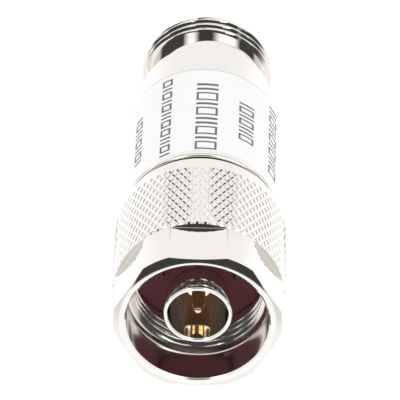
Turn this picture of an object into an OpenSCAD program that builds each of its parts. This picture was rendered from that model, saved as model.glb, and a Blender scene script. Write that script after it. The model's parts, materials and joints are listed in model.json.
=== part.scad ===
// Coaxial fixed attenuator: threaded jack at the foot, knurled coupling nut at the top.
// Millimetres. The jack's end face lies at z = 0 and the common axis is Z.

/* [Housing] */
// Outer diameter of the housing, over its label
body_d = 18.7; // [18:0.1:22]
// Length of the housing
body_l = 18; // [16:0.5:40]
// Thickness of the label wrap
label_t = 0.1; // [0.05:0.05:0.2]
// Bare strip of housing beyond the label at the plug end
strip_front = 0.9; // [0.5:0.1:2]
// Bare strip of housing beyond the label at the jack end
strip_back = 0.6; // [0.5:0.1:2]
// Chamfer on the end edges of the housing
body_chamfer = 0.45; // [0.1:0.05:0.55]
// Diameter of the screwed joints inside the housing
joint_d = 13.2; // [12:0.1:13.8]
// Length of each screwed joint
joint_l = 4.5; // [3.5:0.1:6]
// Width of the seat at the bottom of each screwed joint
seat_step = 0.6; // [0.4:0.1:1]

/* [Jack] */
// Diameter over the jack's thread crests
jack_thread_d = 15.84; // [15:0.01:15.9]
// Length of the threaded end
jack_thread_l = 3.3; // [2.5:0.1:6]
// Chamfer on the jack's front edge
jack_chamfer = 0.45; // [0.2:0.05:0.6]
// Diameter of the relief behind the thread
relief_d = 14; // [13:0.1:14.6]
// Length of the relief behind the thread
relief_l = 3.1; // [1:0.1:4]
// Diameter of the plain barrel
barrel_d = 15.8; // [15:0.1:16]
// Length of the plain barrel
barrel_l = 6.6; // [5:0.1:12]
// Bore that takes the mating sleeve
jack_bore_d = 8.14; // [8.08:0.01:8.3]
// Depth of that bore
jack_bore_l = 9.1; // [8.5:0.1:9.4]
// Lead-in chamfer at the mouth of that bore
jack_bore_lead = 0.25; // [0.1:0.05:0.5]
// Depth of the centre socket below the jack's face
socket_inset = 4.2; // [3.5:0.1:5]
// Diameter of the hole in the centre socket
socket_hole_d = 1.68; // [1.5:0.01:1.8]
// Depth of the hole in the centre socket
socket_hole_l = 5.3; // [4.8:0.1:7]
// Width of the slots that split the socket
socket_slot_w = 0.25; // [0.15:0.01:0.3]
// Length of the slots that split the socket
socket_slot_l = 4.6; // [3:0.1:4.7]

/* [Centre line] */
// Diameter of the centre conductors
line_d = 3.04; // [2.8:0.02:3.2]
// Bore around the centre conductors
line_bore_d = 7; // [6.8:0.02:7.2]
// Outer diameter of the insulating beads
bead_d = 8.4; // [8:0.1:9.4]
// Length of the insulating beads
bead_l = 3.5; // [2.5:0.1:3.8]
// Length of the rings that hold the beads in
retainer_l = 2.5; // [1.5:0.1:2.8]
// Diameter of the collar that locks each conductor in its bead
lock_d = 3.8; // [3.4:0.1:4.6]
// Length of that collar
lock_l = 1.1; // [0.6:0.1:1.6]

/* [Plug] */
// Diameter of the hub that carries the coupling nut
hub_d = 14.4; // [13.9:0.1:14.6]
// Length of the hub
hub_l = 8.4; // [7:0.1:9]
// Outer diameter of the contact sleeve
sleeve_d = 8.06; // [7.9:0.01:8.13]
// Length of the contact sleeve beyond the hub
sleeve_l = 10.34; // [9:0.01:11.5]
// Chamfers at the tip of the contact sleeve
sleeve_lead = 0.12; // [0.05:0.01:0.2]
// Depth of the pin's tip below the end of the sleeve
pin_inset = 0.75; // [0.2:0.05:2]
// Diameter of the contact pin
pin_d = 1.65; // [1.5:0.01:1.7]
// Length of the contact pin beyond its shoulder
pin_l = 4.45; // [4:0.05:6]
// Length of the pin's tapered tip
pin_taper_l = 1.4; // [0.6:0.1:2]
// Diameter at the end of the pin's tip
pin_tip_d = 0.75; // [0.4:0.05:1.2]
// Thickness of the gasket
gasket_t = 1.4; // [0.8:0.1:2]
// Outer diameter of the gasket
gasket_d = 15.7; // [13:0.1:15.8]
// Diameter of the step that the gasket sits round
gasket_seat_d = 8.7; // [8.3:0.1:10]

/* [Coupling nut] */
// Diameter over the knurl
nut_d = 20.2; // [19.8:0.1:23]
// Overall length of the nut
nut_l = 19.4; // [18:0.1:21]
// Gap between the nut and the housing at rest
nut_gap = 0.8; // [0.3:0.1:1.5]
// Diameter of the plain collar at the back
nut_collar_d = 19; // [18:0.1:19.6]
// Length of the plain collar at the back
nut_collar_l = 2.55; // [1:0.05:5]
// Chamfer at the back edge of the collar
nut_back_chamfer = 0.1; // [0.05:0.05:0.5]
// Width across the flats
hex_af = 18.6; // [18.2:0.05:19]
// Diameter over the turned corners of the hexagon
hex_corner_d = 19.8; // [19.3:0.02:20]
// Length of the hexagon
hex_l = 6; // [3:0.1:8]
// Turn of the hexagon toward +X, in degrees
hex_turn = 1.5; // [0:0.1:30]
// Diameter of the flat front face
nut_face_d = 18.2; // [17.4:0.1:18.5]
// Slope of the chamfer round the front face, in degrees
nut_face_slope = 22; // [10:1:45]
// Diameter of the plain mouth
mouth_d = 16.6; // [16.1:0.1:16.9]
// Length of the plain mouth
mouth_l = 4.5; // [2:0.1:5.5]
// Lead-in chamfer of the mouth
mouth_lead = 0.2; // [0.1:0.05:0.4]
// Length of the cone between the mouth and the thread
mouth_cone_l = 0.8; // [0.4:0.1:1.2]
// Minor diameter of the coupling thread
nut_thread_d = 14.84; // [14.6:0.02:15]
// Length of the coupling thread
nut_thread_l = 3; // [2.6:0.1:4.6]
// Diameter of the chamber that holds the gasket
chamber_d = 15.9; // [15.4:0.1:16.6]
// Length of hub that the chamber leaves clear below the gasket
chamber_back = 0.8; // [0.7:0.1:1]

/* [Snap ring] */
// Height of the snap ring above the housing
ring_h = 4; // [3:0.1:5]
// Thickness of the snap ring
ring_t = 0.78; // [0.6:0.02:0.9]
// Inner diameter of the snap ring
ring_inner_d = 13; // [12.9:0.1:13.4]
// Outer diameter of the snap ring
ring_outer_d = 15.6; // [15.2:0.1:15.7]
// Width of the split in the snap ring
ring_split = 2.4; // [1:0.1:4]
// Diameter at the bottom of the hub's groove
hub_groove_d = 12.6; // [12:0.1:12.7]
// Diameter at the bottom of the nut's groove
nut_groove_d = 15.9; // [15.8:0.1:16.4]
// Axial float of the nut
nut_float = 0.5; // [0.2:0.1:0.8]

/* [Attenuator card] */
// Width of the ceramic card
card_w = 7; // [6:0.1:8]
// Thickness of the ceramic card
card_t = 0.64; // [0.4:0.02:1]
// Space between the card and each end of its cavity
card_end_gap = 1; // [0.8:0.1:1.5]
// Width of the end pads
pad_w = 1.8; // [1.4:0.1:2.6]
// Length of the end pads
pad_l = 1.7; // [1.4:0.1:1.9]
// Thickness of the pads
pad_t = 0.05; // [0.03:0.01:0.08]
// Width of the ground pads along the card's edges
ground_pad_w = 1.3; // [1:0.1:1.6]
// Thickness of the resistor film
film_t = 0.04; // [0.02:0.01:0.05]
// Width of the series part of the film
film_series_w = 1; // [0.6:0.1:1.6]
// Width of the shunt part of the film
film_shunt_w = 1; // [0.4:0.1:1.6]
// Width of the ground springs
spring_w = 1; // [0.6:0.1:1.2]
// Thickness of the ground springs
spring_t = 0.15; // [0.1:0.01:0.25]
// Width of the contact straps
strap_w = 1.2; // [0.8:0.1:1.6]
// Thickness of the contact straps
strap_t = 0.2; // [0.1:0.02:0.3]
// Length of strap that lies on each conductor
strap_grip = 1.4; // [1:0.1:1.5]
// Width of the channel through the card carriers
channel_w = 4.2; // [3.8:0.1:4.4]
// Height of the channel above and below the card
channel_h = 2.4; // [2:0.1:3]

/* [Fits] */
// Radial clearance of the nut on its hub
run_gap = 0.06; // [0.02:0.01:0.09]
// Clearance between pieces that seat in one another
seat_gap = 0.02; // [0.01:0.01:0.04]
// Axial clearance of the snap ring in the nut
ring_gap = 0.03; // [0.02:0.01:0.06]

/* [Hidden] */
$fn = 96;
// Overrun of cuts past the faces they open
over = 1;

body_r = body_d / 2;
joint_r = joint_d / 2;
cavity_r = joint_r - seat_step;
line_r = line_d / 2;
bore_r = line_bore_d / 2;
bead_r = bead_d / 2;
hub_r = hub_d / 2;
sleeve_r = sleeve_d / 2;
hex_corner_r = hex_corner_d / 2;

// Heights above the jack's face, from the foot up
relief_z0 = jack_thread_l;
barrel_z0 = relief_z0 + relief_l;
body_z0 = barrel_z0 + barrel_l;
cavity_z0 = body_z0 + joint_l;
body_z1 = body_z0 + body_l;
cavity_z1 = body_z1 - joint_l;
cavity_l = cavity_z1 - cavity_z0;
hub_z1 = body_z1 + hub_l;
sleeve_z1 = hub_z1 + sleeve_l;
pin_tip_z = sleeve_z1 - pin_inset;
nut_z0 = body_z1 + nut_gap;
nut_z1 = nut_z0 + nut_l;
hex_z0 = nut_z1 - hex_l;
nut_thread_z1 = nut_z1 - mouth_l - mouth_cone_l;
nut_thread_z0 = nut_thread_z1 - nut_thread_l;
ring_z0 = body_z1 + ring_h;

// The card lies across the axis plane, with its film on the +Y face
card_l = cavity_l - 2 * card_end_gap;
card_z0 = cavity_z0 + card_end_gap;
card_z1 = cavity_z1 - card_end_gap;
card_top = card_t / 2;
pad_top = card_top + pad_t;
// Each conductor ends half way between the card and the end of the cavity
tail_gap = card_end_gap / 2;
jack_tail_z = card_z0 - tail_gap;
plug_tail_z = card_z1 + tail_gap;
tail_flat_l = strap_grip + tail_gap;
// Stretch of each strap that lies on its pad
strap_on_pad = pad_l / 2;

// A turned piece from its outline in radius and height
module turned(outline)
    rotate_extrude() polygon(outline);

// A plain ring between two heights
module ring(inner_r, outer_r, z0, z1)
    turned([[inner_r, z0], [outer_r, z0], [outer_r, z1], [inner_r, z1]]);

// A box between two corners
module block(low, high)
    translate(low) cube(high - low);

// Room for the flat milled on a conductor's tail, open towards +Y
module tail_flat(z0, z1)
    block([-line_d, pad_top, z0], [line_d, line_d, z1]);

// Outline of an insulating bead with its recess for the locking collar
function bead_outline(z0) = let (mid = z0 + bead_l / 2, lock_r = lock_d / 2 + seat_gap) [
    [line_r + seat_gap, z0], [bead_r - seat_gap, z0],
    [bead_r - seat_gap, z0 + bead_l], [line_r + seat_gap, z0 + bead_l],
    [line_r + seat_gap, mid + lock_l / 2 + seat_gap], [lock_r, mid + lock_l / 2 + seat_gap],
    [lock_r, mid - lock_l / 2 - seat_gap], [line_r + seat_gap, mid - lock_l / 2 - seat_gap]];

jack_bead_z0 = cavity_z0 - retainer_l - bead_l;
plug_bead_z0 = cavity_z1 + retainer_l;

module jack_shell() color("silver")
    turned([
        [jack_bore_d / 2 + jack_bore_lead, 0],
        [jack_thread_d / 2 - jack_chamfer, 0],
        [jack_thread_d / 2, jack_chamfer],
        [jack_thread_d / 2, relief_z0],
        [relief_d / 2, relief_z0],
        [relief_d / 2, barrel_z0],
        [barrel_d / 2, barrel_z0],
        [barrel_d / 2, body_z0],
        [joint_r - seat_gap, body_z0],
        [joint_r - seat_gap, cavity_z0],
        [bead_r, cavity_z0],
        [bead_r, jack_bead_z0],
        [bore_r, jack_bead_z0],
        [bore_r, jack_bore_l],
        [jack_bore_d / 2, jack_bore_l],
        [jack_bore_d / 2, jack_bore_lead]]);

module jack_socket() color("gold")
    difference() {
        union() {
            ring(0, line_r, socket_inset, jack_tail_z);
            ring(0, lock_d / 2, jack_bead_z0 + (bead_l - lock_l) / 2, jack_bead_z0 + (bead_l + lock_l) / 2);
        }
        translate([0, 0, socket_inset - over]) cylinder(d = socket_hole_d, h = socket_hole_l + over);
        for (turn = [0, 90])
            rotate(turn)
                block([-line_d, -socket_slot_w / 2, socket_inset - over],
                      [line_d, socket_slot_w / 2, socket_inset + socket_slot_l]);
        tail_flat(jack_tail_z - tail_flat_l, jack_tail_z + over);
    }

module jack_bead() color("white") turned(bead_outline(jack_bead_z0));

module jack_bead_retainer() color("silver")
    ring(bore_r, bead_r - seat_gap, cavity_z0 - retainer_l, cavity_z0);

module jack_contact_strap() color("gold")
    block([-strap_w / 2, pad_top, jack_tail_z - strap_grip],
          [strap_w / 2, pad_top + strap_t, card_z0 + strap_on_pad]);

module housing() color("gainsboro")
    turned([
        [joint_r, body_z0],
        [body_r - body_chamfer, body_z0],
        [body_r, body_z0 + body_chamfer],
        [body_r, body_z0 + strip_back],
        [body_r - label_t, body_z0 + strip_back],
        [body_r - label_t, body_z1 - strip_front],
        [body_r, body_z1 - strip_front],
        [body_r, body_z1 - body_chamfer],
        [body_r - body_chamfer, body_z1],
        [joint_r, body_z1],
        [joint_r, cavity_z1],
        [cavity_r, cavity_z1],
        [cavity_r, cavity_z0],
        [joint_r, cavity_z0]]);

module label_wrap() color("white")
    ring(body_r - label_t, body_r, body_z0 + strip_back, body_z1 - strip_front);

// Half of the split carrier: side is 1 above the card and -1 below it
module card_carrier(side, slot_h) {
    reach = cavity_r + over;
    difference() {
        intersection() {
            ring(0, cavity_r - seat_gap, cavity_z0, cavity_z1);
            if (side > 0) block([-reach, 0, cavity_z0], [reach, reach, cavity_z1]);
            else block([-reach, -reach, cavity_z0], [reach, 0, cavity_z1]);
        }
        block([-card_w / 2 - seat_gap, -slot_h, cavity_z0 - over],
              [card_w / 2 + seat_gap, slot_h, cavity_z1 + over]);
        block([-channel_w / 2, -channel_h, cavity_z0 - over],
              [channel_w / 2, channel_h, cavity_z1 + over]);
    }
}

module card_carrier_upper() color("silver") card_carrier(1, pad_top + spring_t);

module card_carrier_lower() color("silver") card_carrier(-1, card_top);

module attenuator_card() color("ivory")
    block([-card_w / 2, -card_top, card_z0], [card_w / 2, card_top, card_z1]);

module resistor_film() color("dimgray") {
    mid = (card_z0 + card_z1) / 2;
    shunt_reach = card_w / 2 - ground_pad_w;
    block([-film_series_w / 2, card_top, card_z0 + pad_l],
          [film_series_w / 2, card_top + film_t, card_z1 - pad_l]);
    block([-shunt_reach, card_top, mid - film_shunt_w / 2],
          [shunt_reach, card_top + film_t, mid + film_shunt_w / 2]);
}

module card_end_pads() color("gold") {
    block([-pad_w / 2, card_top, card_z0], [pad_w / 2, pad_top, card_z0 + pad_l]);
    block([-pad_w / 2, card_top, card_z1 - pad_l], [pad_w / 2, pad_top, card_z1]);
}

module card_ground_pads() color("gold")
    for (side = [0, 1])
        mirror([side, 0, 0])
            block([card_w / 2 - ground_pad_w, card_top, card_z0], [card_w / 2, pad_top, card_z1]);

module ground_spring() {
    inner = card_w / 2 - (ground_pad_w + spring_w) / 2;
    block([inner, pad_top, card_z0], [inner + spring_w, pad_top + spring_t, card_z1]);
}

module ground_spring_right() color("peru") ground_spring();

module ground_spring_left() color("peru") mirror([1, 0, 0]) ground_spring();

module plug_contact_strap() color("gold")
    block([-strap_w / 2, pad_top, card_z1 - strap_on_pad],
          [strap_w / 2, pad_top + strap_t, plug_tail_z + strap_grip]);

module plug_shell() color("silver")
    turned([
        [bead_r, cavity_z1],
        [joint_r - seat_gap, cavity_z1],
        [joint_r - seat_gap, body_z1],
        [hub_r, body_z1],
        [hub_r, ring_z0 - seat_gap],
        [hub_groove_d / 2, ring_z0 - seat_gap],
        [hub_groove_d / 2, ring_z0 + ring_t + nut_float + ring_gap],
        [hub_r, ring_z0 + ring_t + nut_float + ring_gap],
        [hub_r, hub_z1],
        [gasket_seat_d / 2, hub_z1],
        [gasket_seat_d / 2, hub_z1 + gasket_t],
        [sleeve_r, hub_z1 + gasket_t],
        [sleeve_r, sleeve_z1 - sleeve_lead],
        [sleeve_r - sleeve_lead, sleeve_z1],
        [bore_r + sleeve_lead, sleeve_z1],
        [bore_r, sleeve_z1 - sleeve_lead],
        [bore_r, plug_bead_z0 + bead_l],
        [bead_r, plug_bead_z0 + bead_l]]);

module plug_pin() color("gold") {
    shoulder_z = pin_tip_z - pin_l;
    lock_z0 = plug_bead_z0 + (bead_l - lock_l) / 2;
    tip_edge = pin_tip_d / 4;
    difference() {
        turned([
            [0, plug_tail_z],
            [line_r, plug_tail_z],
            [line_r, lock_z0],
            [lock_d / 2, lock_z0],
            [lock_d / 2, lock_z0 + lock_l],
            [line_r, lock_z0 + lock_l],
            [line_r, shoulder_z],
            [pin_d / 2, shoulder_z],
            [pin_d / 2, pin_tip_z - pin_taper_l],
            [pin_tip_d / 2, pin_tip_z - tip_edge],
            [pin_tip_d / 2 - tip_edge, pin_tip_z],
            [0, pin_tip_z]]);
        tail_flat(plug_tail_z - over, plug_tail_z + tail_flat_l);
    }
}

module plug_bead() color("white") turned(bead_outline(plug_bead_z0));

module plug_bead_retainer() color("silver")
    ring(bore_r, bead_r - seat_gap, cavity_z1, cavity_z1 + retainer_l);

module coupling_gasket() color("firebrick")
    ring(gasket_seat_d / 2 + seat_gap, gasket_d / 2, hub_z1, hub_z1 + gasket_t);

module nut_snap_ring() color("darkgray")
    difference() {
        ring(ring_inner_d / 2, ring_outer_d / 2, ring_z0, ring_z0 + ring_t);
        block([-ring_split / 2, 0, ring_z0 - over], [ring_split / 2, ring_outer_d, ring_z0 + ring_t + over]);
    }

// Outside of the nut: plain collar, knurled band and turned hexagon
module nut_blank() {
    nut_r = nut_d / 2;
    knurl_edge = nut_r - hex_corner_r;
    collar_r = nut_collar_d / 2;
    face_r = nut_face_d / 2;
    slope_drop = (hex_corner_r - face_r) * tan(nut_face_slope);
    turned([
        [0, nut_z0],
        [collar_r - nut_back_chamfer, nut_z0],
        [collar_r, nut_z0 + nut_back_chamfer],
        [collar_r, nut_z0 + nut_collar_l],
        [nut_r, nut_z0 + nut_collar_l],
        [nut_r, hex_z0 - knurl_edge],
        [hex_corner_r, hex_z0],
        [0, hex_z0]]);
    intersection() {
        turned([
            [0, nut_thread_z0],
            [hex_corner_r, nut_thread_z0],
            [hex_corner_r, nut_z1 - slope_drop],
            [face_r, nut_z1],
            [0, nut_z1]]);
        translate([0, 0, nut_thread_z0])
            linear_extrude(nut_z1 - nut_thread_z0)
                rotate(hex_turn) circle(r = hex_af / 2 / cos(30), $fn = 6);
    }
}

module coupling_nut() color("silver") {
    rear_r = hub_r + run_gap;
    groove_z0 = ring_z0 - ring_gap;
    groove_z1 = ring_z0 + ring_t + ring_gap;
    groove_r = nut_groove_d / 2;
    mouth_r = mouth_d / 2;
    thread_r = nut_thread_d / 2;
    difference() {
        nut_blank();
        turned([
            [0, nut_z0 - over],
            [rear_r, nut_z0 - over],
            [rear_r, groove_z0],
            [groove_r, groove_z0],
            [groove_r, groove_z1],
            [rear_r, groove_z1],
            [rear_r, hub_z1 - chamber_back],
            [chamber_d / 2, hub_z1 - chamber_back],
            [chamber_d / 2, nut_thread_z0],
            [thread_r, nut_thread_z0],
            [thread_r, nut_thread_z1],
            [mouth_r, nut_thread_z1 + mouth_cone_l],
            [mouth_r, nut_z1 - mouth_lead],
            [mouth_r + mouth_lead, nut_z1],
            [mouth_r + mouth_lead, nut_z1 + over],
            [0, nut_z1 + over]]);
    }
}

jack_shell();
jack_socket();
jack_bead();
jack_bead_retainer();
jack_contact_strap();
housing();
label_wrap();
card_carrier_upper();
card_carrier_lower();
attenuator_card();
resistor_film();
card_end_pads();
card_ground_pads();
ground_spring_left();
ground_spring_right();
plug_contact_strap();
plug_shell();
plug_pin();
plug_bead();
plug_bead_retainer();
coupling_gasket();
nut_snap_ring();
coupling_nut();
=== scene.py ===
"""Looks of an in-line coaxial attenuator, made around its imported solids. Blender units are metres.

The part stands on its jack, with the coupling nut at the top. Outlines are written in millimetres,
as (radius, height) with heights measured from the jack's face, and scaled when a mesh is made.
"""
import json
import math

import bpy
from mathutils import Matrix, Vector


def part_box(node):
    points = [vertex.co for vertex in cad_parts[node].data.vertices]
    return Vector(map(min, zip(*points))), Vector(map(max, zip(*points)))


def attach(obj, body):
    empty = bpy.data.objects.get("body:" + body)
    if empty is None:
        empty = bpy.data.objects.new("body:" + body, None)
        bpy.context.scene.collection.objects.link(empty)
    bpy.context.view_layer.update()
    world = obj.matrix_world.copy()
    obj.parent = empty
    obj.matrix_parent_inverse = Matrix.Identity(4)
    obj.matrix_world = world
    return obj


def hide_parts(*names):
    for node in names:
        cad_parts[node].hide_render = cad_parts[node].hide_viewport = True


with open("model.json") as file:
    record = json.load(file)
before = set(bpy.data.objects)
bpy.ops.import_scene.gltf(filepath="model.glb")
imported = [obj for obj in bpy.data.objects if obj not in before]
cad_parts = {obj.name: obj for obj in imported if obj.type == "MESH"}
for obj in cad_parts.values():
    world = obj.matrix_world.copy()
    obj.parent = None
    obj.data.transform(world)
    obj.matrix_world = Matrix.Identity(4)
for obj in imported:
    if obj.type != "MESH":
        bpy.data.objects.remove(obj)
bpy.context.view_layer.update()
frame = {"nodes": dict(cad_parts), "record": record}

MM = 0.001


def span(node):
    """Lowest height, highest height and largest radius of a node, in millimetres."""
    low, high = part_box(node)
    return low.z / MM, high.z / MM, high.x / MM


# Sizes that the frame gives, in millimetres
NUT_Z0, NUT_Z1, NUT_R = span("coupling_nut")
BODY_Z0, BODY_Z1, BODY_R = span("housing")
LABEL_Z0, LABEL_Z1, LABEL_R = span("label_wrap")
_, JACK_Z1, _ = span("jack_shell")
SHELL_Z0, SLEEVE_Z1, HUB_R = span("plug_shell")
GASKET_Z0, GASKET_Z1, GASKET_R = span("coupling_gasket")
PIN_Z0, PIN_Z1, LOCK_R = span("plug_pin")
SOCKET_Z0, SOCKET_Z1, _ = span("jack_socket")
BEAD_Z0, BEAD_Z1, BEAD_R = span("plug_bead")
JACK_BEAD_Z0, JACK_BEAD_Z1, _ = span("jack_bead")
RING_Z0, RING_Z1, _ = span("nut_snap_ring")

# Sizes that the solids share with this script
LABEL_T = 0.1
JOINT_R = 6.58
LINE_R = 1.52
BORE_R = 3.5
THREAD_PITCH = 25.4 / 24
JACK_THREAD_R = 7.92
JACK_THREAD_L = 3.3
JACK_CHAMFER = 0.45
RELIEF_R = 7.0
RELIEF_L = 3.1
JACK_BORE_R = 4.07
JACK_BORE_L = 9.1
SLEEVE_R = 4.03
GASKET_SEAT_R = 4.35
HUB_GROOVE_R = 6.3
GROOVE_SPAN = 1.33
PIN_R = 0.825
PIN_L = 4.45
SOCKET_HOLE_R = 0.84
SOCKET_HOLE_L = 5.3
SOCKET_SLOT_W = 0.25
SOCKET_SLOT_L = 4.6
COLLAR_R = 9.5
COLLAR_L = 2.55
COLLAR_EDGE = 0.1
BODY_CHAMFER = 0.45
BARREL_OUTER_R = 7.9
BARREL_INNER_R = 7.75
HEX_L = 6.0
HEX_FLAT_R = 9.3
FACE_R = 9.1
FACE_SLOPE = math.radians(22)
MOUTH_R = 8.3
MOUTH_L = 4.5
MOUTH_LEAD = 0.2
MOUTH_CONE_L = 0.8
NUT_THREAD_R = 7.42
NUT_THREAD_L = 3.0
NUT_THREAD_ROOT_R = 7.96
CHAMBER_R = 7.95
CHAMBER_BACK = 0.8
NUT_GAP = 0.06
NUT_REAR_R = HUB_R + NUT_GAP
NUT_GROOVE_R = 7.95
RING_GAP = 0.03
SEAT_GAP = 0.02
# Half the length of the collar that locks a conductor in its bead
LOCK_HALF_L = 0.55

# Small forms that only this script has
SEAT_SLOPE_L = 0.25
# Round that leads from the nut's mouth into its cone: its depth, and its length as a share of that
MOUTH_STEP = 0.08
MOUTH_STEP_SHARE = 1.4
# Shares of the pitch that a thread's crest takes, and its root too
JACK_THREAD_FLAT = 0.16
NUT_THREAD_FLAT = 0.1

# The knurl: starts of each family of grooves, and samples across one pitch
KNURL_STARTS = 66
KNURL_SAMPLES = 12
KNURL_DEPTH = 0.12
KNURL_ROWS = 79
KNURL_CHAMFER = 0.2
KNURL_CHAMFER_L = 0.17
# Columns of the knurl that the hexagon is turned by, toward +X, and that half a flat takes
HEX_TURN_COLUMNS = 3
HEX_HALF_COLUMNS = 44
# Half widths of a groove's floor and of the whole groove, as shares of the pitch
FLOOR_SHARE = 1 / 12
GROOVE_SHARE = 3 / 12
EDGE = 0.05
ROOT_FILLET = 0.04
# Edges that turn by more than this are shown sharp: on the threaded shells, the fingers and the print
CREASE = math.radians(12)
FINGER_CREASE = math.radians(20)
PRINT_CREASE = math.radians(30)
# Two points that are no further apart are one, and a corner that turns by less gets no round
SAME_PLACE = 1e-6
STRAIGHT = 1e-4
# Share of an outline's edge that the round at its corner may take
ROUND_ROOM_SHARE = 0.45


def new_object(name, verts, faces):
    """A mesh object from points in millimetres."""
    mesh = bpy.data.meshes.new(name)
    mesh.from_pydata([(x * MM, y * MM, z * MM) for x, y, z in verts], [], faces)
    mesh.validate()
    obj = bpy.data.objects.new(name, mesh)
    bpy.context.scene.collection.objects.link(obj)
    mesh.polygons.foreach_set("use_smooth", [True] * len(mesh.polygons))
    return obj


def rounded_corner(before, corner, after, radius, steps):
    """Points and outward normals of one rounded corner of an outline whose solid lies to its left."""
    way_in = (corner - before).normalized()
    way_out = (after - corner).normalized()
    turn = math.atan2(way_in.x * way_out.y - way_in.y * way_out.x, way_in.dot(way_out))
    right_in = Vector((way_in.y, -way_in.x))
    right_out = Vector((way_out.y, -way_out.x))
    if radius <= 0 or abs(turn) < STRAIGHT:
        return [(corner, right_in), (corner, right_out)]
    half = math.tan(abs(turn) / 2)
    room = ROUND_ROOM_SHARE * min((corner - before).length, (after - corner).length)
    reach = min(radius * half, room)
    radius = reach / half
    side = 1 if turn > 0 else -1
    centre = corner - way_in * reach - right_in * radius * side
    found = []
    for k in range(steps + 1):
        angle = turn * k / steps
        c, s = math.cos(angle), math.sin(angle)
        normal = Vector((right_in.x * c - right_in.y * s, right_in.x * s + right_in.y * c))
        found.append((centre + normal * radius * side, normal))
    return found


def lathe(name, outline, segments=192, closed=True, steps=6):
    """A turned piece. outline holds (radius, height) or (radius, height, corner radius), anticlockwise."""
    points = [Vector(p[:2]) for p in outline]
    radii = [p[2] if len(p) > 2 else 0 for p in outline]
    count = len(points)
    nodes = []
    for i, point in enumerate(points):
        if not closed and i in (0, count - 1):
            other = points[1] if i == 0 else points[-2]
            way = (other - point if i == 0 else point - other).normalized()
            nodes.append((point, Vector((way.y, -way.x))))
            continue
        nodes += rounded_corner(points[i - 1], point, points[(i + 1) % count], radii[i], steps)
    if closed:
        nodes.append(nodes[0])
    angles = [math.tau * k / segments for k in range(segments)]
    turns = [(math.cos(a), math.sin(a)) for a in angles]
    verts, faces, normals, rings = [], [], [], {}

    def ring_of(point):
        key = (round(point.x, 6), round(point.y, 6))
        if key not in rings:
            start = len(verts)
            if point.x < SAME_PLACE:
                verts.append((0, 0, point.y))
                rings[key] = [start] * segments
            else:
                verts.extend((point.x * c, point.x * s, point.y) for c, s in turns)
                rings[key] = list(range(start, start + segments))
        return rings[key]

    for (p0, n0), (p1, n1) in zip(nodes, nodes[1:]):
        if (p1 - p0).length < SAME_PLACE:
            continue
        low, high = ring_of(p0), ring_of(p1)
        for k in range(segments):
            m = (k + 1) % segments
            corners = [(low[k], n0, k), (low[m], n0, m), (high[m], n1, m), (high[k], n1, k)]
            seen, face = set(), []
            for index, normal, turn in corners:
                if index in seen:
                    continue
                seen.add(index)
                face.append(index)
                c, s = turns[turn]
                normals.append((normal.x * c, normal.x * s, normal.y))
            faces.append(face)
    obj = new_object(name, verts, faces)
    obj.data.normals_split_custom_set(normals)
    return obj


class Skin:
    """A closed surface built ring by ring around the axis, each ring a list of vertex numbers."""

    def __init__(self):
        self.verts = []
        self.faces = []

    def ring(self, radius, height, columns):
        """radius and height are numbers, or functions of the column's angle."""
        start = len(self.verts)
        for k in range(columns):
            angle = math.tau * k / columns
            r = radius(angle) if callable(radius) else radius
            z = height(angle) if callable(height) else height
            self.verts.append((r * math.cos(angle), r * math.sin(angle), z))
        return list(range(start, start + columns))

    def join(self, low, high, along_first=None):
        """Faces between two rings, the solid to the left of the way from low to high.
        Where the rings have different counts, one's count is a multiple of the other's."""
        if len(low) == len(high):
            count = len(low)
            for k in range(count):
                m = (k + 1) % count
                a, b, c, d = low[k], low[m], high[m], high[k]
                if along_first is None:
                    self.faces.append((a, b, c, d))
                elif along_first(k):
                    self.faces += [(a, b, c), (a, c, d)]
                else:
                    self.faces += [(a, b, d), (b, c, d)]
            return
        flip = len(low) < len(high)
        fine, coarse = (high, low) if flip else (low, high)
        ratio = len(fine) // len(coarse)
        for k in range(len(coarse)):
            m = (k + 1) % len(coarse)
            run = [fine[(k * ratio + j) % len(fine)] for j in range(ratio + 1)]
            middle = ratio // 2
            fans = [(run[j], run[j + 1], coarse[k] if j < middle else coarse[m]) for j in range(ratio)]
            fans.append((run[middle], coarse[m], coarse[k]))
            self.faces += [tuple(reversed(f)) for f in fans] if flip else fans

    def chain(self, rings):
        """Joins a list of rings, one after another."""
        for low, high in zip(rings, rings[1:]):
            self.join(low, high)

    def build(self, name):
        """The finished object, with its folds sharp."""
        obj = new_object(name, self.verts, self.faces)
        obj.data.set_sharp_from_angle(angle=CREASE)
        return obj


def thread_share(height, angle, crest_height, flat, rounded=False):
    """How deep a right-hand thread is at a place: 0 on its crest, 1 at its root.
    flat is the share of the pitch that each of the two takes."""
    turn = (height - crest_height) / THREAD_PITCH - angle / math.tau
    off_crest = abs(turn - round(turn)) * 2
    flank = (off_crest - flat) / (1 - 2 * flat)
    flank = min(1, max(0, flank))
    return flank * flank * (3 - 2 * flank) if rounded else flank


def thread_rows(low, high, samples=14):
    """Heights of the rows that a threaded stretch is sampled at."""
    count = max(2, round((high - low) / THREAD_PITCH * samples))
    return [low + (high - low) * k / count for k in range(count + 1)]


def knurl_radius(column, row):
    """Radius at a grid point of the knurl: flat diamonds between two crossing families of grooves."""
    depth = 0
    for steps in (column + row, column - row):
        off = steps % KNURL_SAMPLES
        off = min(off, KNURL_SAMPLES - off) / KNURL_SAMPLES
        depth = max(depth, min(1, (GROOVE_SHARE - off) / (GROOVE_SHARE - FLOOR_SHARE)))
    return NUT_R - KNURL_DEPTH * max(0, depth)


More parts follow.
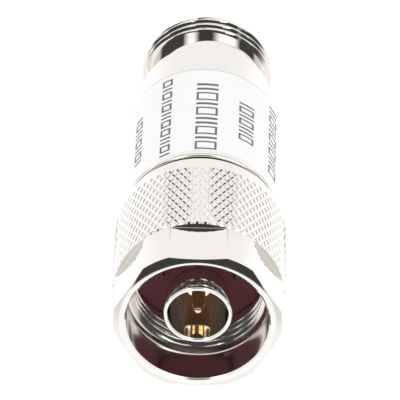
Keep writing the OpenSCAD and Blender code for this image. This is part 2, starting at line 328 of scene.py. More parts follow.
def knurl_band(skin, z0, z1):
    """The rings of the knurl, and the faces between them, folded along the grooves."""
    columns = KNURL_STARTS * KNURL_SAMPLES
    edge_z = z1 - KNURL_CHAMFER_L

    def row_ring(row):
        step = math.tau / columns
        z = z0 + (edge_z - z0) * row / KNURL_ROWS
        return skin.ring(lambda angle: knurl_radius(round(angle / step), row), z, columns)

    def near(steps):
        off = steps % KNURL_SAMPLES
        return min(off, KNURL_SAMPLES - off)

    rings = [row_ring(row) for row in range(KNURL_ROWS + 1)]
    for row, (low, high) in enumerate(zip(rings, rings[1:])):
        skin.join(low, high, lambda k, row=row: near(k - row) < near(k + row + 1))
    front = skin.ring(NUT_R - KNURL_CHAMFER, z1, columns)
    skin.join(rings[-1], front)
    return rings[0], front


def make_nut():
    """The coupling nut: knurl and hexagon outside, coupling thread inside."""
    skin = Skin()
    columns = KNURL_STARTS * KNURL_SAMPLES
    inner_columns = columns // 3
    turn = math.tau * HEX_TURN_COLUMNS / columns
    corner_r = HEX_FLAT_R / math.cos(math.tau * HEX_HALF_COLUMNS / columns)
    hex_z0 = NUT_Z1 - HEX_L
    collar_z1 = NUT_Z0 + COLLAR_L

    def hex_r(angle):
        # One flat faces -Y, turned a little toward +X
        off = (angle - turn + math.pi / 2 + math.pi / 6) % (math.pi / 3) - math.pi / 6
        return min(corner_r, HEX_FLAT_R / math.cos(off))

    def root_r(angle, share):
        return min(hex_r(angle) + ROOT_FILLET * share, NUT_R - KNURL_CHAMFER)

    def slope_z(r):
        return NUT_Z1 - (r - FACE_R) * math.tan(FACE_SLOPE)

    back = [
        skin.ring(COLLAR_R - COLLAR_EDGE, NUT_Z0, columns),
        skin.ring(COLLAR_R, NUT_Z0 + COLLAR_EDGE, columns),
        skin.ring(COLLAR_R, collar_z1, columns),
    ]
    skin.chain(back)
    knurl_low, knurl_high = knurl_band(skin, collar_z1, hex_z0)
    skin.join(back[-1], knurl_low)

    # The fillet at the hexagon's root is a quarter round in three steps
    front = [knurl_high]
    for step in range(4):
        along = math.radians(30) * step
        out, up = 1 - math.sin(along), 1 - math.cos(along)
        front.append(skin.ring(lambda a, out=out: root_r(a, out), hex_z0 + ROOT_FILLET * up, columns))
    front += [
        skin.ring(hex_r, lambda a: slope_z(hex_r(a)) - EDGE, columns),
        skin.ring(lambda a: hex_r(a) - EDGE, lambda a: slope_z(hex_r(a) - EDGE), columns),
        skin.ring(FACE_R + EDGE, slope_z(FACE_R + EDGE), columns),
        skin.ring(FACE_R - EDGE, NUT_Z1, columns),
    ]
    skin.chain(front)

    mouth_z0 = NUT_Z1 - MOUTH_L
    thread_z1 = mouth_z0 - MOUTH_CONE_L
    thread_z0 = thread_z1 - NUT_THREAD_L

    def bore_r(angle, z):
        share = thread_share(z, angle, thread_z1 - THREAD_PITCH, NUT_THREAD_FLAT, rounded=True)
        return NUT_THREAD_R + (NUT_THREAD_ROOT_R - NUT_THREAD_R) * share

    inner = [
        skin.ring(MOUTH_R + MOUTH_LEAD, NUT_Z1, inner_columns),
        skin.ring(MOUTH_R, NUT_Z1 - MOUTH_LEAD, inner_columns),
        skin.ring(MOUTH_R, mouth_z0, inner_columns),
        skin.ring(MOUTH_R - MOUTH_STEP, mouth_z0 - MOUTH_STEP * MOUTH_STEP_SHARE, inner_columns),
        skin.ring(NUT_THREAD_ROOT_R, thread_z1, inner_columns),
    ]
    for z in reversed(thread_rows(thread_z0, thread_z1)):
        inner.append(skin.ring(lambda a, z=z: bore_r(a, z), z, inner_columns))
    chamber_z0 = GASKET_Z0 - CHAMBER_BACK
    rear_lead = 0.15
    for r, z in (
        (CHAMBER_R, thread_z0),
        (CHAMBER_R, chamber_z0),
        (NUT_REAR_R, chamber_z0),
        (NUT_REAR_R, RING_Z1 + RING_GAP),
        (NUT_GROOVE_R, RING_Z1 + RING_GAP),
        (NUT_GROOVE_R, RING_Z0 - RING_GAP),
        (NUT_REAR_R, RING_Z0 - RING_GAP),
        (NUT_REAR_R, NUT_Z0 + rear_lead),
        (NUT_REAR_R + rear_lead, NUT_Z0),
    ):
        inner.append(skin.ring(r, z, inner_columns))
    skin.chain(inner)
    skin.join(front[-1], inner[0])
    skin.join(inner[-1], back[0])
    return skin.build("nut")


def make_jack():
    """The jack shell, with its outside thread cut as a real helix."""
    skin = Skin()
    columns = 264
    relief_z0 = JACK_THREAD_L
    barrel_z0 = relief_z0 + RELIEF_L
    root_depth = 0.62
    crest_z = 0.95
    edge = 0.15
    lead = 0.25

    def thread_r(angle, z):
        # The crest's height is stated on the -Y side
        depth = thread_share(z, angle + math.pi / 2, crest_z, JACK_THREAD_FLAT)
        return min(JACK_THREAD_R - root_depth * depth, JACK_THREAD_R - JACK_CHAMFER + z)

    rings = [skin.ring(JACK_BORE_R + lead, 0, columns)]
    for z in thread_rows(0, relief_z0):
        rings.append(skin.ring(lambda a, z=z: thread_r(a, z), z, columns))
    for r, z in (
        (RELIEF_R, relief_z0),
        (RELIEF_R, barrel_z0),
        (BARREL_INNER_R, barrel_z0),
        (BARREL_OUTER_R, barrel_z0 + edge),
        (BARREL_OUTER_R, BODY_Z0),
        (JOINT_R, BODY_Z0),
        (JOINT_R, JACK_Z1),
        (BEAD_R + SEAT_GAP, JACK_Z1),
        (BEAD_R + SEAT_GAP, JACK_BEAD_Z0),
        (BORE_R, JACK_BEAD_Z0),
        (BORE_R, JACK_BORE_L),
        (JACK_BORE_R, JACK_BORE_L),
        (JACK_BORE_R, lead),
    ):
        rings.append(skin.ring(r, z, columns))
    skin.chain(rings)
    skin.join(rings[-1], rings[0])
    return skin.build("jack")


def make_housing():
    """The housing, with its recess for the label and its inner seat."""
    recess = LABEL_R - LABEL_T
    seat_r, soft, jack_soft = 6.0, 0.06, 0.1
    return lathe("housing_tube", [
        (JOINT_R, BODY_Z0, jack_soft),
        (BODY_R - BODY_CHAMFER, BODY_Z0, soft),
        (BODY_R, BODY_Z0 + BODY_CHAMFER, soft),
        (BODY_R, LABEL_Z0),
        (recess, LABEL_Z0),
        (recess, LABEL_Z1),
        (BODY_R, LABEL_Z1),
        (BODY_R, BODY_Z1, BODY_CHAMFER),
        (JOINT_R, BODY_Z1, soft),
        (JOINT_R, SHELL_Z0),
        (seat_r, SHELL_Z0),
        (seat_r, JACK_Z1),
        (JOINT_R, JACK_Z1),
    ])


def make_label():
    """The label: a thin wrap with softened edges."""
    soft = LABEL_T * 0.4
    gap = 0.03
    return lathe("label", [
        (LABEL_R - LABEL_T, LABEL_Z0 + gap),
        (LABEL_R, LABEL_Z0 + gap, soft),
        (LABEL_R, LABEL_Z1 - gap, soft),
        (LABEL_R - LABEL_T, LABEL_Z1 - gap),
    ], segments=256)


def make_plug_shell():
    """The plug shell: stub, hub with the snap ring's groove, gasket seat and contact sleeve."""
    groove_z0 = RING_Z0 - SEAT_GAP
    lead, soft, hub_soft = 0.12, 0.05, 0.1
    return lathe("plug_body", [
        (BEAD_R + SEAT_GAP, SHELL_Z0),
        (JOINT_R, SHELL_Z0, hub_soft),
        (JOINT_R, BODY_Z1),
        (HUB_R, BODY_Z1),
        (HUB_R, groove_z0),
        (HUB_GROOVE_R, groove_z0),
        (HUB_GROOVE_R, groove_z0 + GROOVE_SPAN),
        (HUB_R, groove_z0 + GROOVE_SPAN),
        (HUB_R, GASKET_Z0, hub_soft),
        (GASKET_SEAT_R, GASKET_Z0),
        (GASKET_SEAT_R, GASKET_Z1 - SEAT_SLOPE_L),
        (SLEEVE_R, GASKET_Z1),
        (SLEEVE_R, SLEEVE_Z1 - lead, soft),
        (SLEEVE_R - lead, SLEEVE_Z1, soft),
        (BORE_R + lead, SLEEVE_Z1, soft),
        (BORE_R, SLEEVE_Z1 - lead, soft),
        (BORE_R, BEAD_Z1),
        (BEAD_R + SEAT_GAP, BEAD_Z1),
    ])


def make_pin():
    """The plug's centre conductor: line, lock collar, shoulder and tapered contact pin."""
    shoulder_z = PIN_Z1 - PIN_L
    lock_z = (BEAD_Z0 + BEAD_Z1) / 2
    taper_l, taper_soft = 1.4, 1.0
    tip_r, tip_l, tip_soft = 0.375, 0.1, 0.12
    soft, tail_soft = 0.05, 0.1
    return lathe("contact_pin", [
        (0, PIN_Z0),
        (LINE_R, PIN_Z0, tail_soft),
        (LINE_R, lock_z - LOCK_HALF_L),
        (LOCK_R, lock_z - LOCK_HALF_L, soft),
        (LOCK_R, lock_z + LOCK_HALF_L, soft),
        (LINE_R, lock_z + LOCK_HALF_L),
        (LINE_R, shoulder_z, tip_soft),
        (PIN_R, shoulder_z, soft),
        (PIN_R, PIN_Z1 - taper_l, taper_soft),
        (tip_r, PIN_Z1 - tip_l, tip_soft),
        (tip_r / 2, PIN_Z1, tip_soft),
        (0, PIN_Z1),
    ], segments=96, closed=False)


def make_gasket():
    """The gasket, whose free edge spreads until it all but meets the chamber's wall."""
    soft, flare = 0.12, 0.06
    flare_soft, seat_soft = 0.01, 0.03
    return lathe("gasket_ring", [
        (GASKET_SEAT_R + SEAT_GAP, GASKET_Z0, soft),
        (GASKET_R, GASKET_Z0, soft),
        (GASKET_R + flare, GASKET_Z1, flare_soft),
        (GASKET_SEAT_R + SEAT_GAP, GASKET_Z1, seat_soft),
    ])


def make_bead(name, z0, z1):
    """An insulating bead, its inner recess included."""
    soft = 0.08
    hole_r, lock_r = LINE_R + SEAT_GAP, LOCK_R + SEAT_GAP
    mid, lock_half_l = (z0 + z1) / 2, LOCK_HALF_L + SEAT_GAP
    return lathe(name, [
        (hole_r, z0, soft),
        (BEAD_R, z0, soft),
        (BEAD_R, z1, soft),
        (hole_r, z1, soft),
        (hole_r, mid + lock_half_l),
        (lock_r, mid + lock_half_l),
        (lock_r, mid - lock_half_l),
        (hole_r, mid - lock_half_l),
    ], segments=128)


def make_socket():
    """The centre socket: a solid root and four spring fingers."""
    verts, faces = [], []
    hole_z1 = SOCKET_Z0 + SOCKET_HOLE_L
    slot_z1 = SOCKET_Z0 + SOCKET_SLOT_L
    soft, lock_soft = 0.1, 0.05
    section = [
        (SOCKET_HOLE_R, SOCKET_Z0 + soft),
        (SOCKET_HOLE_R + soft, SOCKET_Z0),
        (LINE_R - soft, SOCKET_Z0),
        (LINE_R, SOCKET_Z0 + soft),
        (LINE_R, slot_z1),
        (SOCKET_HOLE_R, slot_z1),
    ]
    steps = 16
    for quarter in range(4):
        start = len(verts)
        for k in range(steps + 1):
            for r, z in section:
                half_slot = math.asin(SOCKET_SLOT_W / 2 / r)
                a0 = quarter * math.pi / 2 + half_slot
                a1 = (quarter + 1) * math.pi / 2 - half_slot
                angle = a0 + (a1 - a0) * k / steps
                verts.append((r * math.cos(angle), r * math.sin(angle), z))
        n = len(section)
        for k in range(steps):
            for i in range(n):
                j = (i + 1) % n
                faces.append((start + k * n + i, start + (k + 1) * n + i,
                              start + (k + 1) * n + j, start + k * n + j))
        faces.append(tuple(start + i for i in range(n)))
        faces.append(tuple(start + steps * n + i for i in reversed(range(n))))
    fingers = new_object("socket_fingers", verts, faces)
    fingers.data.set_sharp_from_angle(angle=FINGER_CREASE)
    mid = (JACK_BEAD_Z0 + JACK_BEAD_Z1) / 2
    root = lathe("socket_root", [
        (0, hole_z1),
        (SOCKET_HOLE_R, hole_z1),
        (SOCKET_HOLE_R, slot_z1),
        (LINE_R, slot_z1),
        (LINE_R, mid - LOCK_HALF_L),
        (LOCK_R, mid - LOCK_HALF_L, lock_soft),
        (LOCK_R, mid + LOCK_HALF_L, lock_soft),
        (LINE_R, mid + LOCK_HALF_L),
        (LINE_R, SOCKET_Z1, soft),
        (0, SOCKET_Z1),
    ], segments=96, closed=False)
    return fingers, root


# Marks on the label longer than this are drawn as open frames, in millimetres
FRAME_MIN_L = 0.8
# Line width of a frame, length of a thin bar, and how far the print stands out of and into the label
PRINT_LINE = 0.26
BAR = 0.3
PRINT_T = 0.012
PRINT_SINK = 0.02
# Rows of marks: degrees from -Y, distance of the first mark from the label's front edge, width of
# the marks, gap between them, and their lengths from the front edge on
PRINT_ROWS = [
    (57, 2.5, 1.3, 0.5, (BAR, 1.3, BAR, 1.3, BAR, BAR, 1.3, BAR)),
    (30, 0.3, 1.35, 0.45, (BAR, 1.3, BAR, BAR, 1.3, 1.3, BAR, BAR, 1.3, BAR, 1.3, BAR, 1.3)),
    (-1, 0.3, 2.6, 0.5, (1.6, 0.4, 1.6, 0.4, 0.4, 1.6, 0.4, 1.6, 0.4, 0.4)),
    (-32, 3.9, 2.1, 0.45, (1.2, BAR, BAR, 1.2, BAR, 1.2, BAR)),
    (-61, 1.7, 1.8, 0.55, (1.6, BAR, BAR, 1.4, BAR, 1.4, BAR, BAR, 1.4, BAR, BAR)),
]


def make_print():
    """Plain bars and frames printed on the label, each a thin curved patch."""
    verts, faces = [], []
    top, under = LABEL_R + PRINT_T, LABEL_R - PRINT_SINK
    arc_step = 0.03

    def patch(a0, a1, z0, z1):
        steps = max(2, math.ceil(abs(a1 - a0) / arc_step))
        start = len(verts)
        for k in range(steps + 1):
            angle = a0 + (a1 - a0) * k / steps
            for r, z in ((under, z0), (top, z0), (top, z1), (under, z1)):
                verts.append((r * math.cos(angle), r * math.sin(angle), z))
        for k in range(steps):
            for i in range(4):
                j = (i + 1) % 4
                faces.append((start + 4 * k + i, start + 4 * (k + 1) + i,
                              start + 4 * (k + 1) + j, start + 4 * k + j))
        faces.append(tuple(start + i for i in range(4)))
        faces.append(tuple(start + 4 * steps + i for i in (3, 2, 1, 0)))

    rim = PRINT_LINE / LABEL_R
    for degrees, below, width, gap, lengths in PRINT_ROWS:
        left = math.radians(degrees - 90) - width / 2 / LABEL_R
        right = left + width / LABEL_R
        z1 = LABEL_Z1 - below
        for length in lengths:
            z0 = z1 - length
            if length > FRAME_MIN_L:
                patch(left, left + rim, z0, z1)
                patch(right - rim, right, z0, z1)
                patch(left + rim, right - rim, z0, z0 + PRINT_LINE)
                patch(left + rim, right - rim, z1 - PRINT_LINE, z1)
            else:
                patch(left, right, z0, z1)
            z1 = z0 - gap
    obj = new_object("label_print", verts, faces)
    obj.data.set_sharp_from_angle(angle=PRINT_CREASE)
    return obj


def node_material(name):
    """A new material, with its node tree and its main shader."""
    material = bpy.data.materials.new(name)
    material.use_nodes = True
    tree = material.node_tree
    return material, tree, tree.nodes["Principled BSDF"]


def add(tree, kind, **settings):
    """A new node with its properties."""
    node = tree.nodes.new(kind)
    for key, value in settings.items():
        setattr(node, key, value)
    return node


def feed(tree, socket, value):
    """Sets an input to a number, or links it to an output."""
    if isinstance(value, (int, float)):
        socket.default_value = value
    else:
        tree.links.new(value, socket)


def math_node(tree, operation, *values):
    """The result of one operation on numbers or outputs."""
    node = add(tree, "ShaderNodeMath", operation=operation)
    for socket, value in zip(node.inputs, values):
        feed(tree, socket, value)
    return node.outputs[0]


def grey_mix(tree, amount, first, second):
    """Mixes two brightness values, each a number or an output."""
    node = add(tree, "ShaderNodeMix", data_type="FLOAT")
    feed(tree, node.inputs["Factor"], amount)
    feed(tree, node.inputs["A"], first)
    feed(tree, node.inputs["B"], second)
    return node.outputs["Result"]


def smooth_range(tree, value, low, high):
    """Maps a range onto 0 to 1, with soft ends."""
    node = add(tree, "ShaderNodeMapRange", interpolation_type="SMOOTHSTEP")
    node.inputs["From Min"].default_value = low
    node.inputs["From Max"].default_value = high
    tree.links.new(value, node.inputs["Value"])
    return node.outputs["Result"]


def degrees_range(tree, value, low, high):
    """Maps radians between two angles in degrees onto 0 to 1, with soft ends."""
    return smooth_range(tree, value, math.radians(low), math.radians(high))


# Between these lie most values of a noise
NOISE_RANGE = (0.3, 0.7)


def spread(tree, source, low, high, source_range=NOISE_RANGE):
    """Maps a value onto a range. Its own range is that of a noise, unless it is stated."""
    node = add(tree, "ShaderNodeMapRange")
    node.inputs["From Min"].default_value = source_range[0]
    node.inputs["From Max"].default_value = source_range[1]
    node.inputs["To Min"].default_value = low
    node.inputs["To Max"].default_value = high
    tree.links.new(source, node.inputs["Value"])
    return node.outputs["Result"]


def tint(tree, source, first, second):
    """Mixes two colours by a noise."""
    ramp = add(tree, "ShaderNodeValToRGB")
    for stop, position, colour in zip(ramp.color_ramp.elements, NOISE_RANGE, (first, second)):
        stop.position = position
        stop.color = (*colour, 1)
    tree.links.new(source, ramp.inputs["Fac"])
    return ramp.outputs["Color"]


def noise(tree, place, scale, detail=3.0, rough=0.6):
    """A noise with that many features to the metre."""
    node = add(tree, "ShaderNodeTexNoise")
    node.inputs["Scale"].default_value = scale
    node.inputs["Detail"].default_value = detail
    node.inputs["Roughness"].default_value = rough
    tree.links.new(place, node.inputs["Vector"])
    return node.outputs["Fac"]


def axis_distance(tree, place):
    """How far a place lies from the part's axis, and its height."""
    parts = add(tree, "ShaderNodeSeparateXYZ")
    tree.links.new(place, parts.inputs["Vector"])
    flat = add(tree, "ShaderNodeCombineXYZ")
    tree.links.new(parts.outputs["X"], flat.inputs["X"])
    tree.links.new(parts.outputs["Y"], flat.inputs["Y"])
    radius = add(tree, "ShaderNodeVectorMath", operation="LENGTH")
    tree.links.new(flat.outputs["Vector"], radius.inputs[0])
    return radius.outputs["Value"], parts.outputs["Z"]


def turning_lines(tree, place, per_mm):
    """Noise that is the same all round the axis, as a lathe tool leaves it."""
    radius, height = axis_distance(tree, place)
    lines = add(tree, "ShaderNodeTexNoise", noise_dimensions="1D")
    lines.inputs["Scale"].default_value = per_mm / MM
    lines.inputs["Detail"].default_value = 2.0
    tree.links.new(math_node(tree, "ADD", radius, height), lines.inputs["W"])
    return lines.outputs["Fac"]


def bump(tree, shader, source, strength, depth):
    """Relief that only the light sees, its depth in millimetres."""
    node = add(tree, "ShaderNodeBump")
    node.inputs["Strength"].default_value = strength
    node.inputs["Distance"].default_value = depth * MM
    tree.links.new(source, node.inputs["Height"])
    tree.links.new(node.outputs["Normal"], shader.inputs["Normal"])


def within_radius(tree, place, radius, soft):
    """1 nearer to the axis than a radius in millimetres, 0 further out."""
    distance, _ = axis_distance(tree, place)
    return spread(tree, distance, 1.0, 0.0, (radius * MM, (radius + soft) * MM))


# How much rougher the nut's bore is than its outside, and over how many millimetres that fades
NUT_SATIN = 0.09
SATIN_FADE = 0.1
# Features of a metal's tint and of its gloss to the metre, its turning lines to the millimetre, and
# their depth in millimetres
TINT_SCALE = 260.0
GLOSS_SCALE = 2400.0
TURNING_LINES = 9.0
TURNING_DEPTH = 0.002
# Colours of the painted glow that metals and insulators give off, though they are no lamps
METAL_GLOW = (1.0, 0.66, 0.5, 1)
PLASTIC_GLOW = (1.0, 0.68, 0.55, 1)
# A plastic's tint and relief scales as shares of its grain, how far its gloss varies, and how
# strongly its relief shows
MOTTLE_SHARE = 0.25
RELIEF_SHARE = 2
GLOSS_SPREAD_SHARE = 0.15
PLASTIC_RELIEF = 0.3


def plated_metal(name, first, second, rough_low, rough_high, marks, glow=0.0, satin=None):
    """A plated, turned metal: two close tints, uneven gloss and faint turning lines.
    glow is a painted glow, as the metal is no lamp: it stands for the light that many
    reflections deep inside a bore would add.
    satin holds the radius of a bore that is duller than the outside, and how much."""
    material, tree, shader = node_material(name)
    place = add(tree, "ShaderNodeTexCoord").outputs["Object"]
    cloud = noise(tree, place, TINT_SCALE)
    tree.links.new(tint(tree, cloud, first, second), shader.inputs["Base Color"])
    shader.inputs["Metallic"].default_value = 1.0
    fine = noise(tree, place, GLOSS_SCALE, detail=2.0)
    rough = spread(tree, fine, rough_low, rough_high)
    if satin:
        radius, more = satin
        inside = within_radius(tree, place, radius, SATIN_FADE)
        rough = math_node(tree, "ADD", rough, math_node(tree, "MULTIPLY", inside, more))
    tree.links.new(rough, shader.inputs["Roughness"])
    # Painted glow: the metal gives off light, though it is no lamp
    shader.inputs["Emission Color"].default_value = METAL_GLOW
    shader.inputs["Emission Strength"].default_value = glow
    bump(tree, shader, turning_lines(tree, place, TURNING_LINES), marks, TURNING_DEPTH)
    return material


def plastic(name, first, second, rough, grain, depth, coat=0.0, glow=0.0):
    """A plastic or rubber with a mottled tint and a fine grain, whose depth is in millimetres.
    glow is painted light: an even glow that it gives off, though it is no lamp."""
    material, tree, shader = node_material(name)
    place = add(tree, "ShaderNodeTexCoord").outputs["Object"]
    mottle = tint(tree, noise(tree, place, grain * MOTTLE_SHARE), first, second)
    tree.links.new(mottle, shader.inputs["Base Color"])
    rough_low = rough * (1 - GLOSS_SPREAD_SHARE)
    rough_high = rough * (1 + GLOSS_SPREAD_SHARE)
    gloss = spread(tree, noise(tree, place, grain), rough_low, rough_high)
    tree.links.new(gloss, shader.inputs["Roughness"])
    shader.inputs["Coat Weight"].default_value = coat
    # Painted glow: the plastic gives off light, though it is no lamp
    shader.inputs["Emission Color"].default_value = PLASTIC_GLOW
    shader.inputs["Emission Strength"].default_value = glow
    bump(tree, shader, noise(tree, place, grain * RELIEF_SHARE), PLASTIC_RELIEF, depth)
    return material


def make_metals():
    """The plated and bare metals. The nut's bore is duller than its outside."""
    nickel = (0.89, 0.86, 0.82), (0.905, 0.875, 0.835), 0.025, 0.05
    return {
        "nickel": plated_metal("bright_nickel", *nickel, marks=0.1),
        "nut_nickel": plated_metal("nut_nickel", *nickel, marks=0.1, satin=(MOUTH_R, NUT_SATIN)),
        # The gold plate gets a faint painted glow
        "gold": plated_metal(
            "gold_plate", (0.93, 0.73, 0.48), (0.96, 0.78, 0.54), 0.06, 0.12, marks=0.15, glow=0.02),
        "carrier": plated_metal(
            "satin_plate", (0.70, 0.68, 0.64), (0.76, 0.74, 0.70), 0.25, 0.38, marks=0.5),
        "spring": plated_metal(
            "spring_bronze", (0.66, 0.40, 0.22), (0.74, 0.48, 0.28), 0.2, 0.3, marks=0.4),
    }


def make_plastics():
    """The insulators, the gasket, the label with its print, and the card."""
    return {
        # The insulators get a faint painted glow
        "insulator": plastic(
            "white_fluoropolymer", (0.80, 0.80, 0.78), (0.86, 0.86, 0.84), 0.42, 1800.0, 0.004,
            glow=0.05),
        "gasket": plastic(
            "red_silicone", (0.33, 0.108, 0.128), (0.385, 0.133, 0.156), 0.45, 1500.0, 0.006),
        "label": plastic(
            "label_film", (0.955, 0.957, 0.96), (0.97, 0.972, 0.975), 0.36, 900.0, 0.002, coat=0.15),
        "ceramic": plastic("alumina", (0.84, 0.83, 0.77), (0.90, 0.89, 0.84), 0.6, 3000.0, 0.003),
        "film": plastic("resistor_paste", (0.035, 0.032, 0.03), (0.06, 0.055, 0.05), 0.65, 3500.0, 0.003),
        "print": plastic("grey_ink", (0.12, 0.12, 0.13), (0.16, 0.16, 0.17), 0.45, 2500.0, 0.001),
    }


def paint(obj, material):
    """Gives an object its one material."""
    obj.data.materials.clear()
    obj.data.materials.append(material)


def make_pieces(materials):
    """Builds what stands for the turned nodes, and finishes the nodes that stay."""
    root, nut = "attenuator", "nut"
    fingers, socket_root = make_socket()
    pieces = [
        (make_nut(), nut, "nut_nickel", ["coupling_nut"]),
        (make_jack(), root, "nickel", ["jack_shell"]),
        (make_housing(), root, "nickel", ["housing"]),
        (make_label(), root, "label", ["label_wrap"]),
        (make_plug_shell(), root, "nickel", ["plug_shell"]),
        (make_pin(), root, "gold", ["plug_pin"]),
        (make_gasket(), root, "gasket", ["coupling_gasket"]),
        (make_bead("plug_insulator", BEAD_Z0, BEAD_Z1), root, "insulator", ["plug_bead"]),
        (make_bead("jack_insulator", JACK_BEAD_Z0, JACK_BEAD_Z1), root, "insulator", ["jack_bead"]),
        (fingers, root, "gold", ["jack_socket"]),
        (socket_root, root, "gold", ["jack_socket"]),
    ]
    replaced = set()
    for obj, body, slot, nodes in pieces:
        paint(obj, materials[slot])
        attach(obj, body)
        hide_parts(*nodes)
        replaced.update(nodes)
    marks = make_print()
    paint(marks, materials["print"])
    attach(marks, root)
    slots = {s["node"]: s["material_slot"] for s in frame["record"]["subparts"]}
    for name, obj in frame["nodes"].items():
        if name not in replaced:
            paint(obj, materials[slots[name]])


# How bright the studio is around the part's own axis, by degrees from the camera's side, toward +X
STUDIO_ROUND = [
    (-180, 1.12), (-150, 1.05), (-138, 0.8), (-116, 0.74), (-106, 0.06), (-68, 0.06),
    (-52, 2.0), (-22, 2.0), (-8, 0.055), (18, 0.055), (29, 2.0), (38, 2.0),
    (52, 0.06), (106, 0.06), (116, 0.74), (138, 0.8), (150, 1.05), (180, 1.12),
]
# Degrees off the axis between which the lamps fade into an even white ring low down, and the dark
# ceiling into the lamps
LOW_RING = (46, 60)
CEILING_EDGE = (32, 35)
CEILING_GREY = 0.05
# How far the ceiling leans toward the camera, in degrees
CEILING_LEAN = 1.5
# Dull surfaces see a softer studio, from this grey to this white
DULL_DARK = 0.55
DULL_BRIGHT = 1.3


def make_world():
    """A white studio with a dark ceiling and dark gaps between its lamps, which only the part sees."""
    world = bpy.data.worlds.new("studio")
    bpy.context.scene.world = world
    world.use_nodes = True
    tree = world.node_tree
    background = tree.nodes["Background"]
    direction = add(tree, "ShaderNodeTexCoord").outputs["Generated"]
    parts = add(tree, "ShaderNodeSeparateXYZ")
    tree.links.new(direction, parts.inputs["Vector"])
    off_axis = math_node(tree, "ARCCOSINE", parts.outputs["Z"])
    toward_camera = math_node(tree, "MULTIPLY", parts.outputs["Y"], -1.0)
    around = math_node(tree, "ARCTAN2", parts.outputs["X"], toward_camera)
    share = math_node(tree, "ADD", math_node(tree, "DIVIDE", around, math.tau), 0.5)
    ring = add(tree, "ShaderNodeValToRGB")
    stops = ring.color_ramp.elements
    while len(stops) < len(STUDIO_ROUND):
        stops.new(0.5)
    for stop, (degrees, value) in zip(stops, STUDIO_ROUND):
        stop.position = degrees / 360 + 0.5
        stop.color = (value, value, value, 1)
    tree.links.new(share, ring.inputs["Fac"])
    low_ring = degrees_range(tree, off_axis, *LOW_RING)
    lamps = grey_mix(tree, low_ring, ring.outputs["Color"], 1.0)

    lean = math.radians(CEILING_LEAN)
    over = add(tree, "ShaderNodeVectorMath", operation="DOT_PRODUCT")
    tree.links.new(direction, over.inputs[0])
    over.inputs[1].default_value = (0, -math.sin(lean), math.cos(lean))
    off_ceiling = math_node(tree, "ARCCOSINE", over.outputs["Value"])
    below_ceiling = degrees_range(tree, off_ceiling, *CEILING_EDGE)
    studio = grey_mix(tree, below_ceiling, CEILING_GREY, lamps)

    path = add(tree, "ShaderNodeLightPath")
    soft = grey_mix(tree, studio, DULL_DARK, DULL_BRIGHT)
    lit = grey_mix(tree, path.outputs["Is Diffuse Ray"], studio, soft)
    plain = grey_mix(tree, path.outputs["Is Camera Ray"], lit, 1.0)
    tree.links.new(plain, background.inputs["Color"])


# Painted reflections: dark patches beside the part that the floor shows only to reflected rays, so
# the metal shows them and the camera does not. Where they start and end, in millimetres from the axis
# and in degrees from the front to each side
PATCH_START = 52.0
PATCH_END = 117.0
PATCH_FROM = 64
PATCH_TO = 90
PATCH_DARK = 0.1
# How far the patches are turned toward +X, in degrees
PATCH_TURN = 2
# Weaker painted reflection patches in front and on the flanks, up to these degrees to each side
FRONT_TO = 30
FRONT_GREY = 0.6
FLANK_TO = 57
FLANK_GREY = 0.8
# Half the width of a patch's soft edge, in degrees, and the fades at its start and end as shares
PATCH_SOFT = 5
START_FADE_SHARE = 0.2
END_FADE_SHARE = 0.06
# How much brighter the floor's painted reflection is to the sides than in front, and the degrees
# between which it grows
SIDE_GAIN = 1.22
SIDE_RANGE = (40, 95)
# How bright the floor is to the camera, and how much of that is its own glow
FLOOR_GLOW = 1.1
GLOW_SHARE = 0.8
FLOOR_SIZE = 3000.0


def floor_shade(tree):
    """Painted reflection: how bright each place of the floor looks in polished metal only."""
    place = add(tree, "ShaderNodeTexCoord").outputs["Object"]
    parts = add(tree, "ShaderNodeSeparateXYZ")
    tree.links.new(place, parts.inputs["Vector"])
    length = add(tree, "ShaderNodeVectorMath", operation="LENGTH")
    tree.links.new(place, length.inputs[0])
    toward_camera = math_node(tree, "MULTIPLY", parts.outputs["Y"], -1.0)
    turned = math_node(tree, "ARCTAN2", parts.outputs["X"], toward_camera)
    around = math_node(tree, "ABSOLUTE", math_node(tree, "SUBTRACT", turned, math.radians(PATCH_TURN)))

    def past(degrees):
        return degrees_range(tree, around, degrees - PATCH_SOFT, degrees + PATCH_SOFT)

    def beyond(start, fade_share):
        end = start * (1 + fade_share)
        return smooth_range(tree, length.outputs["Value"], start * MM, end * MM)

    started = beyond(PATCH_START, START_FADE_SHARE)
    unended = math_node(tree, "SUBTRACT", 1.0, beyond(PATCH_END, END_FADE_SHARE))
    ring = math_node(tree, "MULTIPLY", started, unended)
    sector = math_node(tree, "SUBTRACT", past(PATCH_FROM), past(PATCH_TO))
    front = math_node(tree, "MULTIPLY", math_node(tree, "SUBTRACT", 1.0, past(FLANK_TO)), started)
    plain = grey_mix(tree, degrees_range(tree, around, *SIDE_RANGE), 1.0, SIDE_GAIN)
    weak = grey_mix(tree, past(FRONT_TO), FRONT_GREY, FLANK_GREY)
    shade = grey_mix(tree, front, plain, weak)
    return grey_mix(tree, math_node(tree, "MULTIPLY", sector, ring), shade, PATCH_DARK)


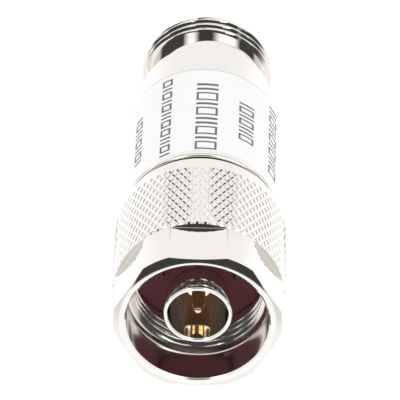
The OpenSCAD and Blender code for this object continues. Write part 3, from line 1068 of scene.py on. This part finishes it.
def make_floor():
    """A pale floor that is white to the eye, with painted reflection patches that only polished metal
    shows, and that keeps a soft shadow.
    """
    half = FLOOR_SIZE / 2
    corners = [(-half, -half, 0), (half, -half, 0), (half, half, 0), (-half, half, 0)]
    floor = new_object("floor", corners, [(0, 1, 2, 3)])
    material, tree, shader = node_material("pale_floor")
    shader.inputs["Base Color"].default_value = (0.9, 0.9, 0.9, 1)
    shader.inputs["Roughness"].default_value = 0.9
    shader.inputs["Specular IOR Level"].default_value = 0.0
    glow = add(tree, "ShaderNodeEmission")
    path = add(tree, "ShaderNodeLightPath")
    # The camera sees an even white glow. Reflected rays see the painted reflection patches instead
    shown = grey_mix(tree, path.outputs["Is Camera Ray"], floor_shade(tree), FLOOR_GLOW)
    tree.links.new(shown, glow.inputs["Color"])
    to_camera = math_node(tree, "MULTIPLY", path.outputs["Is Camera Ray"], GLOW_SHARE)
    seen = math_node(tree, "MAXIMUM", path.outputs["Is Glossy Ray"], to_camera)
    mix = add(tree, "ShaderNodeMixShader")
    tree.links.new(seen, mix.inputs["Fac"])
    tree.links.new(shader.outputs["BSDF"], mix.inputs[1])
    tree.links.new(glow.outputs["Emission"], mix.inputs[2])
    tree.links.new(mix.outputs["Shader"], tree.nodes["Material Output"].inputs["Surface"])
    floor.data.materials.append(material)


def make_camera():
    """The photograph's view: from in front of the plug, the nut at the bottom of the picture."""
    image_px = 400
    focal_px = 5180.0
    mouth_px = (197.5, 323.1)
    mouth_distance = 0.600
    off_axis = math.radians(36.83)
    lean = math.radians(2.19)
    rise = math.sin(off_axis)
    # The part's way from plug to jack and its front, as the camera sees them
    away = Vector((rise * math.sin(lean), rise * math.cos(lean), -math.cos(off_axis)))
    eye = Vector((0, 0, 1))
    front = (eye - away * eye.dot(away)).normalized()
    # Rows: the part's own axes as the camera sees them
    turn = Matrix((front.cross(away), -front, -away))
    middle = image_px / 2
    across = (mouth_px[0] - middle) / focal_px
    up = (middle - mouth_px[1]) / focal_px
    ray = Vector((across, up, -1)) * mouth_distance
    mouth = Vector((0, 0, NUT_Z1 * MM))
    camera_data = bpy.data.cameras.new("camera")
    camera_data.sensor_width = 36.0
    camera_data.lens = focal_px / image_px * camera_data.sensor_width
    camera_data.clip_start = 0.01
    camera = bpy.data.objects.new("camera", camera_data)
    camera.matrix_world = Matrix.Translation(mouth - turn @ ray) @ turn.to_4x4()
    bpy.context.scene.collection.objects.link(camera)
    bpy.context.scene.camera = camera


bpy.context.scene.view_settings.view_transform = "Standard"
make_camera()
make_pieces({**make_metals(), **make_plastics()})
make_world()
make_floor()
